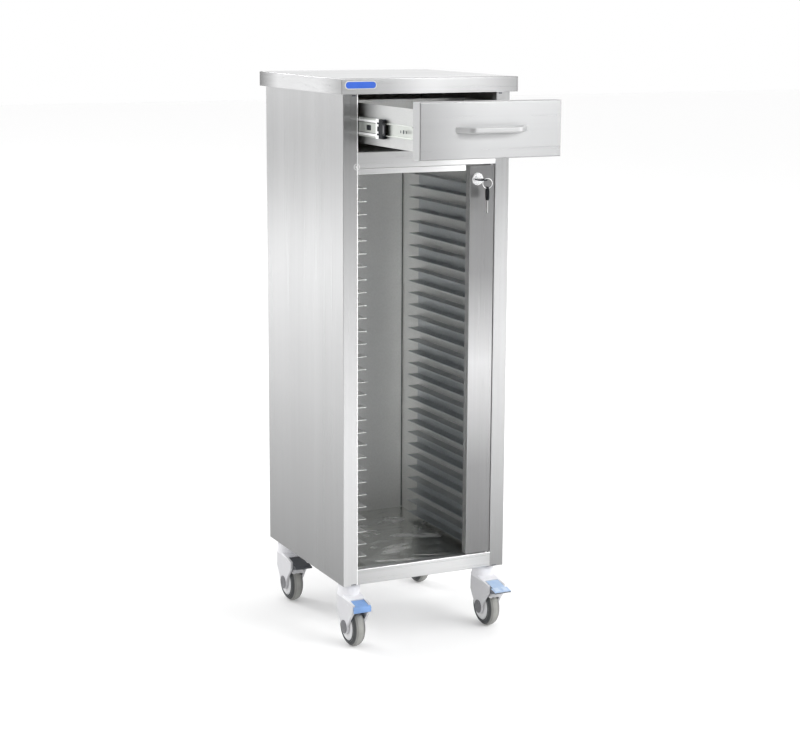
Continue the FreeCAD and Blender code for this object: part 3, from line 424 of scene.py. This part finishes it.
def plastic_finishes():
    """Plastic, rubber and board."""
    return {
        "core_board": moulded("core_board", (0.62, 0.5, 0.34), rough=0.7),
        "black_plastic": moulded("black_plastic", (0.012, 0.014, 0.018), rough=0.5, shine=0.2),
        # The fork's lighter colour above the height is painted light from above; its darker cheeks below
        # are painted shade.
        "fork_nylon": two_level("fork_nylon", lower=(0.66, 0.66, 0.68), upper=(0.9, 0.9, 0.93),
                                height=0.121),
        "core_plastic": moulded("core_plastic", (0.72, 0.72, 0.73)),
        "cap_plastic": two_level("cap_plastic", lower=(0.11, 0.11, 0.12), upper=(0.74, 0.74, 0.76),
                                 height=0.09),
        "cap_rim": moulded("cap_rim", (0.2, 0.2, 0.21)),
        "tyre_grey": tyre("tyre_grey", side=(0.055, 0.059, 0.062), tread=(0.38, 0.38, 0.36)),
        "pedal_blue": moulded("pedal_blue", (0.2, 0.35, 0.66), rough=0.36, contrast=0.12),
        "pedal_pale_blue": top_and_shaded_sides("pedal_pale_blue", top=(0.4, 0.55, 0.78), side=(0.09, 0.1, 0.13)),
        "pedal_charcoal": moulded("pedal_charcoal", (0.05, 0.055, 0.065)),
        "badge_blue": moulded("badge_blue", (0.03, 0.14, 0.72), rough=0.3, coat=0.5),
        "badge_rim": moulded("badge_rim", (0.72, 0.72, 0.68), rough=0.35),
        "pad_blue": moulded("pad_blue", (0.58, 0.7, 0.88)),
        "seal_dark": moulded("seal_dark", (0.03, 0.04, 0.05), rough=0.5),
    }


MATERIALS = {**brushed_finishes(), **inner_finishes(), **metal_finishes(), **plastic_finishes()}

OWN_FINISHES = {
    "bottom_rail": "rail_steel",
    "divider_rail": "rail_steel",
    "divider_stop_strip": "rail_steel",
    "floor_pan": "floor_steel",
    "back_panel": "lining_steel",
    "drawer_box": "box_steel",
    "right_chart_rails": "ledge_steel",
    "right_side_panel": "shell_right_steel",
}


def dress_frame():
    """Each carried-over sub-part gets the material of its slot, or of its own finish."""
    for part in frame["record"]["subparts"]:
        node = NODES[part["node"]]
        finish = OWN_FINISHES.get(part["node"], part["material_slot"])
        node.data.materials.clear()
        node.data.materials.append(MATERIALS[finish])


# ---------------------------------------------------------------- ways to make a piece


def piece(name, shape, body, finish, soft=False):
    """A mesh that rides on a body and takes its finish from a material slot."""
    mesh = bpy.data.meshes.new(name)
    bmesh.ops.recalc_face_normals(shape, faces=shape.faces[:])
    shape.to_mesh(mesh)
    shape.free()
    for face in mesh.polygons:
        face.use_smooth = soft
    item = bpy.data.objects.new(name, mesh)
    bpy.context.scene.collection.objects.link(item)
    mesh.materials.append(MATERIALS[finish])
    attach(item, body)


def slab(outline, axis, low, high, edge=0.0003):
    """A flat outline pushed from low to high along X or Y, with its edges rounded off."""
    order = {"X": lambda a, b: (low, a, b), "Y": lambda a, b: (a, low, b)}
    shape = bmesh.new()
    face = shape.faces.new([shape.verts.new(order[axis](a, b)) for a, b in outline])
    grown = bmesh.ops.extrude_face_region(shape, geom=[face])
    moved = [item for item in grown["geom"] if isinstance(item, bmesh.types.BMVert)]
    step = tuple(high - low if letter == axis else 0.0 for letter in "XYZ")
    bmesh.ops.translate(shape, verts=moved, vec=step)
    bmesh.ops.bevel(shape, geom=shape.edges[:], offset=edge, segments=2, affect="EDGES", profile=0.5)
    return shape


def rounded(across, up, wide, tall, corner, steps=6):
    """The outline of a rounded rectangle about a centre."""
    points = []
    quarters = ((1, 1, 0), (-1, 1, 90), (-1, -1, 180), (1, -1, 270))
    for side, rise, start in quarters:
        a = across + side * (wide / 2 - corner)
        b = up + rise * (tall / 2 - corner)
        for step in range(steps + 1):
            angle = math.radians(start + 90 * step / steps)
            points.append((a + corner * math.cos(angle), b + corner * math.sin(angle)))
    return points


def turned(centre, axis, profile, closed=False, steps=48):
    """A profile of (radius, height) points turned round an axis through a centre."""
    along = axis if isinstance(axis, Vector) else Vector(tuple(float(letter == axis) for letter in "XYZ"))
    aside = Vector((0.0, 0.0, 1.0)) if abs(along.z) < 0.5 else Vector((1.0, 0.0, 0.0))
    out = along.cross(aside).normalized()
    shape = bmesh.new()
    points = [shape.verts.new(Vector(centre) + out * radius + along * height) for radius, height in profile]
    pairs = list(zip(points, points[1:]))
    if closed:
        pairs.append((points[-1], points[0]))
    edges = [shape.edges.new(pair) for pair in pairs]
    bmesh.ops.spin(shape, geom=points + edges, cent=centre, axis=along, angle=2 * math.pi, steps=steps)
    bmesh.ops.remove_doubles(shape, verts=shape.verts[:], dist=1e-6)
    return shape


def ring(centre, axis, radius, tube, steps=48):
    """A round ring about an axis through a centre."""
    sides = 10
    turns = (2 * math.pi * step / sides for step in range(sides))
    profile = [(radius + tube * math.cos(turn), tube * math.sin(turn)) for turn in turns]
    return turned(centre, axis, profile, closed=True, steps=steps)


def frontward_dome(centre, radius, rise):
    """A low dome on a face that looks frontward."""
    sides = 5
    turns = (math.pi / 2 * step / sides for step in range(sides + 1))
    return turned(centre, "Y", [(radius * math.cos(turn), -rise * math.sin(turn)) for turn in turns])


def middle_of(node):
    low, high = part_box(node)
    return (low + high) / 2


# ---------------------------------------------------------------- cabinet details


def badge():
    """A blank oblong plate with a pale rim, at the left of the worktop's front lip."""
    low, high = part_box("worktop")
    from_end = 0.0493
    from_top = 0.0152
    rim_proud = 0.0006
    plate_sunk = 0.0004
    plate_proud = 0.0011
    centre = (low.x + from_end, high.z - from_top)
    rim = rounded(*centre, wide=0.080, tall=0.0192, corner=0.0088)
    shape = slab(rim, "Y", low.y - rim_proud, low.y, edge=0.0002)
    piece("badge_rim", shape, "cabinet", "badge_rim")
    plate = rounded(*centre, wide=0.0752, tall=0.0150, corner=0.0070)
    shape = slab(plate, "Y", low.y - plate_proud, low.y - plate_sunk)
    piece("badge_plate", shape, "cabinet", "badge_blue")


def rail_weld():
    """A dressed weld spot with a polished ring round it, at the divider rail's left end."""
    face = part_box("left_side_panel")[0].y
    rail_low, rail_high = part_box("divider_rail")
    past_end = 0.0028
    rise = 0.0045
    sunk = 0.0002
    spot = (-rail_high.x - past_end, face + sunk, rail_low.z + rise)
    dome = frontward_dome(spot, radius=0.0035, rise=0.0008)
    piece("weld_mid_left", dome, "cabinet", "weld_steel", soft=True)
    halo = ring(spot, "Y", radius=0.0068, tube=0.0009, steps=32)
    piece("weld_halo_left", halo, "cabinet", "weld_steel", soft=True)


def worktop_welds():
    """A scorched weld under the worktop at the head of each stile."""
    low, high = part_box("left_side_panel")
    past_rail = 0.0105
    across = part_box("divider_rail")[1].x + past_rail
    drop = 0.0048
    proud = 0.0005
    for label, side in SIDES:
        scorch = rounded(side * across, high.z - drop, wide=0.0095, tall=0.0036, corner=0.0014)
        shape = slab(scorch, "Y", low.y - proud, low.y, edge=0.0002)
        piece(f"weld_top_{label}", shape, "cabinet", "scorched_steel")


def stile_highlight():
    """A near-white strip along the left stile's edge beside the opening: a painted highlight."""
    low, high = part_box("left_side_panel")
    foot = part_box("bottom_rail")[0].z
    inset = 0.0013
    gap = 0.001
    proud = 0.0004
    sunk = 0.0002
    level = (foot + high.z) / 2
    edge = rounded(high.x - inset, level, wide=0.0024, tall=high.z - foot - gap, corner=0.0006, steps=2)
    shape = slab(edge, "Y", low.y - proud, low.y + sunk)
    piece("stile_highlight", shape, "cabinet", "edge_steel")


def foot_notches():
    """A small dark notch in the foot of each stile."""
    low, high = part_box("left_side_panel")
    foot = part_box("bottom_rail")[0].z
    from_edge = 0.0115
    rise = 0.0022
    proud = 0.0004
    sunk = 0.0002
    for label, side in SIDES:
        across = side * (from_edge - high.x)
        notch = rounded(across, foot + rise, wide=0.0125, tall=0.0022, corner=0.0008, steps=3)
        shape = slab(notch, "Y", low.y - proud, low.y + sunk, edge=0.0001)
        piece(f"foot_notch_{label}", shape, "cabinet", "scorched_steel")


def worktop_seams():
    """The folded corner's seam at each end of the worktop's front lip."""
    low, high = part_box("worktop")
    from_end = 0.0022
    margin = 0.0015
    proud = 0.0003
    sunk = 0.0002
    level = (low.z + high.z) / 2
    tall = high.z - low.z - 2 * margin
    for label, side in SIDES:
        seam = rounded(side * (high.x - from_end), level, wide=0.0011, tall=tall, corner=0.0004, steps=2)
        shape = slab(seam, "Y", low.y - proud, low.y + sunk, edge=0.0001)
        piece(f"worktop_seam_{label}", shape, "cabinet", "seam_steel")


def corner_joints():
    """The dark joint where each liner meets the back panel."""
    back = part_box("back_panel")[0].y
    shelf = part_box("divider_rail")[0].z
    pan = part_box("floor_pan")[1].z
    half = 0.0012
    margin = 0.002
    clear = 0.0002
    deep = 0.0012
    tall = shelf - pan - 2 * margin
    for label, side in SIDES:
        low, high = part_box(f"{label}_liner")
        wall = low.x if side > 0 else high.x
        joint = rounded(wall - side * half, (pan + shelf) / 2, 2 * half, tall, corner=0.0006, steps=2)
        shape = slab(joint, "Y", back - deep, back - clear, edge=0.0002)
        piece(f"corner_joint_{label}", shape, "cabinet", "seam_steel")


# ---------------------------------------------------------------- lock and key details


def key_ring_coil():
    """The split ring's second coil, beside the first."""
    low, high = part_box("key_ring")
    swing = next(joint for joint in frame["joints"] if joint["name"] == "key_ring_swing")
    through = Vector(swing["axis"]).normalized()
    wire = 0.0009
    inset = 0.0008
    centre = (low + high) / 2 + through * wire
    coil = ring(tuple(centre), through, (high.z - low.z) / 2 - inset, wire)
    piece("key_ring_coil", coil, "key_ring_body", "edge_steel", soft=True)


def lock_rim():
    """The bright rim round the lock's face."""
    low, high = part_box("lock_housing")
    sunk = 0.0001
    inset = 0.0012
    face = ((low.x + high.x) / 2, low.y + sunk, (low.z + high.z) / 2)
    rim = ring(face, "Y", (high.x - low.x) / 2 - inset, tube=0.0006)
    piece("lock_rim", rim, "lock_bar_body", "edge_steel", soft=True)


# ---------------------------------------------------------------- slide details


class Slide:
    """One slide's outer faces, with ways to draw on them and to lay thin plates there."""

    def __init__(self, label, side):
        middle_low, middle_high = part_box(f"{label}_slide_middle")
        inner_low, inner_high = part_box(f"{label}_slide_inner")
        outward = min if side < 0 else max
        self.label = label
        self.side = side
        self.faces = {
            "slide_middles": outward(middle_low.x, middle_high.x),
            "drawer": outward(inner_low.x, inner_high.x),
        }
        self.fronts = {"slide_middles": middle_low.y, "drawer": inner_low.y}
        self.centre = (middle_low.z + middle_high.z) / 2

    def patch(self, behind, wide, tall, corner, up=0.0, steps=6, body="slide_middles"):
        """A rounded outline, a distance behind a member's front end."""
        return rounded(self.fronts[body] + behind, self.centre + up, wide, tall, corner, steps)

    def lay(self, name, outline, slot, finish, thick, sunk=0.0, edge=0.0002, body="slide_middles"):
        """A thin plate on the member that moves with a body."""
        start = self.faces[body] - self.side * sunk
        first, second = sorted((start, start + self.side * thick))
        piece(f"{self.label}_{name}", slab(outline, "X", first, second, edge), body, finish)


def slide_stop(slide):
    """The toothed plate at the front end of the middle member."""
    half = 0.0226
    back = 0.015
    teeth = [(back, half), (0.0, half), (0.0, 0.0145), (0.009, 0.0145), (0.009, 0.0105), (0.001, 0.0105),
             (0.001, 0.0055), (0.0075, 0.0055)]
    front = slide.fronts["slide_middles"]
    outline = [(front + behind, slide.centre + up) for behind, up in teeth]
    outline += [(front + behind, slide.centre - up) for behind, up in reversed(teeth)]
    slide.lay("slide_stop", outline, "slide_zinc", "edge_steel", thick=0.0008)


def slide_socket(slide):
    """The dark plate seen through the middle member's slot."""
    plate = slide.patch(behind=0.054, wide=0.027, tall=0.0142, corner=0.0035)
    slide.lay("slide_socket", plate, "black_plastic", "black_plastic", thick=0.0005, sunk=0.0026,
              edge=0.0001)


def slide_ribs(slide):
    """The rolled rib along each edge of the middle member in near-white steel, a painted highlight, and a
    dark strip beside it, painted shade in its groove.
    """
    behind = 0.105
    length = 0.19
    rise = 0.0152
    groove_rise = rise * 0.76
    for step, way in UP_AND_DOWN:
        rib_highlight = slide.patch(behind, length, tall=0.005, corner=0.0015, up=way * rise, steps=3)
        slide.lay(f"slide_rib_{step}", rib_highlight, "slide_zinc", "edge_steel", thick=0.0007, edge=0.0003)
        groove = slide.patch(behind, length, tall=0.0014, corner=0.0004, up=way * groove_rise, steps=2)
        slide.lay(f"slide_groove_{step}", groove, "slide_zinc", "seam_steel", thick=0.0002, edge=0.00005)


def slide_bumper(slide):
    """The plastic stop's backing, and the insert, slot and two lugs on it."""
    backing = slide.patch(behind=0.004, wide=0.0105, tall=0.031, corner=0.001)
    slide.lay("bumper_backing", backing, "black_plastic", "black_plastic", thick=0.0004)
    insert = slide.patch(behind=-0.0195, wide=0.015, tall=0.021, corner=0.0055)
    slide.lay("bumper_insert", insert, "black_plastic", "cap_rim", thick=0.0006)
    slot = slide.patch(behind=-0.0165, wide=0.011, tall=0.0225, corner=0.002)
    slide.lay("bumper_slot", slot, "black_plastic", "black_plastic", thick=0.0008)
    rise = 0.016
    for step, way in UP_AND_DOWN:
        lug = slide.patch(behind=-0.011, wide=0.016, tall=0.0085, corner=0.002, up=way * rise)
        slide.lay(f"bumper_lug_{step}", lug, "black_plastic", "black_plastic", thick=0.0007)


def slide_marks(slide):
    """Three dark punch marks near the inner member's front end."""
    up = 0.0008
    for step, (behind, size) in enumerate(((0.057, 0.0046), (0.043, 0.0066), (0.029, 0.005))):
        mark = slide.patch(behind, size, tall=size * 1.3, corner=size * 0.4, up=up, body="drawer")
        slide.lay(f"slide_mark_{step}", mark, "slide_zinc", "seal_dark", thick=0.0003, edge=0.0001,
                  body="drawer")


def ball_cages(slide):
    """The edge of each ball cage inside the middle member."""
    rise = 0.0168
    for step, way in UP_AND_DOWN:
        strip = slide.patch(behind=0.09, wide=0.15, tall=0.0022, corner=0.0008, up=way * rise)
        slide.lay(f"ball_cage_{step}", strip, "slide_zinc", "slide_zinc", thick=0.0012, sunk=0.0035)


# ---------------------------------------------------------------- castor details


def wheel_rings(name):
    """A dark groove, a lip and a hub bead on each side of a wheel."""
    low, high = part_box(f"{name}_tyre")
    middle = middle_of(f"{name}_tyre")
    half = (high.x - low.x) / 2
    sunk = half - 0.0002
    proud = half + 0.0006
    rings = (
        ("groove", sunk, 0.0362, 0.0011, "tyre_grey", "seal_dark"),
        ("sidewall", sunk, 0.0385, 0.0007, "tyre_grey", "tyre_grey"),
        ("hub_bead", proud, 0.0300, 0.0006, "core_plastic", "core_plastic"),
    )
    for label, side in WHEEL_SIDES:
        for kind, out, radius, tube, slot, finish in rings:
            shape = ring((middle.x + side * out, middle.y, middle.z), "X", radius, tube, steps=64)
            piece(f"{name}_{kind}_{label}", shape, f"{name}_wheel", finish, soft=True)


def cap_rims(name):
    """A dark rim round each axle cap."""
    middle = middle_of(f"{name}_tyre")
    low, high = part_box(f"{name}_axle")
    sunk = 0.0003
    for label, side in WHEEL_SIDES:
        across = (low.x if side < 0 else high.x) - side * sunk
        rim = ring((across, middle.y, middle.z), "X", radius=0.0150, tube=0.0006)
        piece(f"{name}_cap_rim_{label}", rim, f"{name}_fork_body", "cap_rim", soft=True)


def swivel_place(name):
    """How far along the trolley a castor's swivel axis stands."""
    trail = 0.0221
    return middle_of(f"{name}_tyre").y + trail


def swivel_race(name):
    """The steel race over the swivel head."""
    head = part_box(f"{name}_fork")[1].z
    rise = 0.0012
    centre = (middle_of(f"{name}_tyre").x, swivel_place(name), head + rise)
    race = ring(centre, "Z", radius=0.0235, tube=0.0011, steps=64)
    piece(f"{name}_race", race, f"{name}_fork_body", "fixing_steel", soft=True)


def brake_lever(name):
    """The scalloped shoe between the fork and the wheel, under a raised pedal."""
    level = 0.083
    near = 0.0645
    far = 0.0695
    head, neck, lobe = 0.0142, 0.017, 0.012
    right = [(head, 0.011), (head, 0.0062), (neck, 0.0062), (neck, 0.002), (lobe, -0.001)]
    waves = [(0.005, 0.002), (-0.001, 0.0005), (-0.007, 0.002)]
    left = [(-across, up) for across, up in reversed(right)]
    scallop = left[-1:] + right + waves + left[:-1]
    middle = middle_of(f"{name}_tyre").x
    swivel = swivel_place(name)
    outline = [(middle + across, level + up) for across, up in scallop]
    shoe = slab(outline, "Y", swivel - far, swivel - near, edge=0.0005)
    piece(f"{name}_brake_lever", shoe, f"{name}_fork_body", "fork_nylon")


def pedal_pads(name, finish):
    """Two raised pads on the sloping toe of a raised pedal."""
    low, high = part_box(f"{name}_brake_pedal")
    middle = (low.x + high.x) / 2
    reach = 0.063
    pivot = low.y + reach
    start = 0.04
    end = 0.0565
    crown = 0.004
    slope = 13.3 / 59
    half = 0.0065
    apart = 0.0105
    proud = 0.0008
    sunk = 0.0005

    def toe(ahead):
        """The top of the toe, a distance ahead of the pivot."""
        return pivot - ahead, high.z - (ahead - crown) * slope

    near_y, near_z = toe(start)
    far_y, far_z = toe(end)
    near = [(near_y, near_z - sunk), (near_y, near_z + proud)]
    far = [(far_y, far_z + proud), (far_y, far_z - sunk)]
    for step, offset in enumerate((-apart, apart)):
        shape = slab(near + far, "X", middle + offset - half, middle + offset + half)
        piece(f"{name}_pad_{step}", shape, f"{name}_pedal", finish)


# ---------------------------------------------------------------- all details


def cabinet_details():
    badge()
    rail_weld()
    worktop_welds()
    stile_highlight()
    foot_notches()
    worktop_seams()
    corner_joints()


def lock_details():
    key_ring_coil()
    lock_rim()


def slide_details():
    for label, side in SIDES:
        slide = Slide(label, side)
        slide_stop(slide)
        slide_socket(slide)
        slide_ribs(slide)
        slide_bumper(slide)
        slide_marks(slide)
        ball_cages(slide)


def castor_details():
    for name in CASTORS:
        wheel_rings(name)
        cap_rims(name)
        swivel_race(name)
        if name in RAISED_PEDALS:
            brake_lever(name)
    for name, (slot, finish) in RAISED_PEDALS.items():
        pedal_pads(name, finish)


# ---------------------------------------------------------------- stage


def camera():
    """The viewpoint: ahead of the trolley and to its left, a little above the worktop."""
    place = (-1.94815, -3.97015, 1.53543)
    yaw, pitch, roll = (math.radians(angle) for angle in (25.727, 11.289, 0.272))
    data = bpy.data.cameras.new("camera")
    data.sensor_fit = "HORIZONTAL"
    data.sensor_width = 36.0
    data.lens = 83.26
    item = bpy.data.objects.new("camera", data)
    bpy.context.scene.collection.objects.link(item)
    ahead = Vector((math.sin(yaw) * math.cos(pitch), math.cos(yaw) * math.cos(pitch), -math.sin(pitch)))
    right = Vector((math.cos(yaw), -math.sin(yaw), 0.0))
    up = right.cross(ahead)
    across = math.cos(roll) * right + math.sin(roll) * up
    upright = -math.sin(roll) * right + math.cos(roll) * up
    turn = Matrix((across, upright, -ahead)).transposed()
    item.matrix_world = Matrix.Translation(place) @ turn.to_4x4()
    bpy.context.scene.camera = item


def floor():
    """A plain pale floor, wider behind the trolley than ahead of it, and brighter to the camera alone."""
    aside, ahead, behind = 20.0, 9.0, 24.0
    corners = ((-aside, -ahead, 0.0), (aside, -ahead, 0.0), (aside, behind, 0.0), (-aside, behind, 0.0))
    shape = bmesh.new()
    shape.faces.new([shape.verts.new(corner) for corner in corners])
    mesh = bpy.data.meshes.new("floor")
    shape.to_mesh(mesh)
    shape.free()
    item = bpy.data.objects.new("floor", mesh)
    bpy.context.scene.collection.objects.link(item)
    tree = Tree("floor")
    tree.paint(tree.mix(tree.noise(size=3.0), (0.86, 0.86, 0.86), (0.88, 0.88, 0.88)))
    tree.set(Roughness=0.9, Emission_Color=(1.0, 1.0, 1.0, 1.0))
    glow = 0.14
    seen = tree.add("ShaderNodeLightPath").outputs["Is Camera Ray"]
    tree.link(tree.maths("MULTIPLY", seen, glow), tree.shader.inputs["Emission Strength"])
    item.data.materials.append(tree.material)


def world():
    """Soft light from all round, brightest behind and darkest in front, and plain white to the camera."""
    made = bpy.data.worlds.new("studio")
    made.use_nodes = True
    bpy.context.scene.world = made
    nodes = made.node_tree.nodes
    link = made.node_tree.links.new
    back = nodes["Background"]
    where = nodes.new("ShaderNodeTexCoord")
    parts = nodes.new("ShaderNodeSeparateXYZ")
    link(where.outputs["Generated"], parts.inputs[0])

    def ranged(source, low, high, start, end):
        item = nodes.new("ShaderNodeMapRange")
        item.interpolation_type = "SMOOTHSTEP"
        for key, value in (("From Min", start), ("From Max", end), ("To Min", low), ("To Max", high)):
            item.inputs[key].default_value = value
        link(source, item.inputs["Value"])
        return item.outputs["Result"]

    def mixed(factor, first, second):
        item = nodes.new("ShaderNodeMix")
        link(factor, item.inputs["Factor"])
        link(first, item.inputs["A"])
        item.inputs["B"].default_value = second
        return item.outputs["Result"]

    overhead = 0.92
    backdrop = 1.0
    level = ranged(parts.outputs["Y"], low=0.35, high=1.45, start=-0.75, end=0.3)
    rise = ranged(parts.outputs["Z"], low=0.0, high=1.0, start=0.1, end=0.75)
    light = mixed(rise, level, overhead)
    seen = nodes.new("ShaderNodeLightPath").outputs["Is Camera Ray"]
    link(mixed(seen, light, backdrop), back.inputs["Strength"])
    back.inputs["Color"].default_value = (1.0, 1.0, 1.0, 1.0)


def softbox(name, place, target, size, power):
    """A soft rectangular light that faces a point."""
    data = bpy.data.lights.new(name, "AREA")
    data.shape = "RECTANGLE"
    data.size, data.size_y = size
    data.energy = power
    item = bpy.data.objects.new(name, data)
    bpy.context.scene.collection.objects.link(item)
    item.location = place
    facing = Vector(target) - Vector(place)
    item.rotation_mode = "QUATERNION"
    item.rotation_quaternion = facing.to_track_quat("-Z", "Y")


def lights():
    """Two pools of light on the floor, which the steel reflects, and two soft lights on the trolley."""
    softbox("pool_front", place=(3.0, -6.4, 4.2), target=(3.0, -6.4, 0.0), size=(2.2, 2.2), power=215)
    softbox("pool_back", place=(-3.4, 6.6, 4.5), target=(-3.4, 6.6, 0.0), size=(2.2, 2.2), power=330)
    softbox("fill_front", place=(2.12, -3.15, 2.1), target=(0.03, -0.38, 2.1), size=(1.5, 1.4), power=31)
    softbox("key_right", place=(3.2, -2.0, 2.0), target=(0.0, -0.1, 0.7), size=(2.0, 2.0), power=45)


scene = bpy.context.scene
scene.view_settings.view_transform = "Standard"
dress_frame()
cabinet_details()
lock_details()
slide_details()
castor_details()
camera()
floor()
world()
lights()
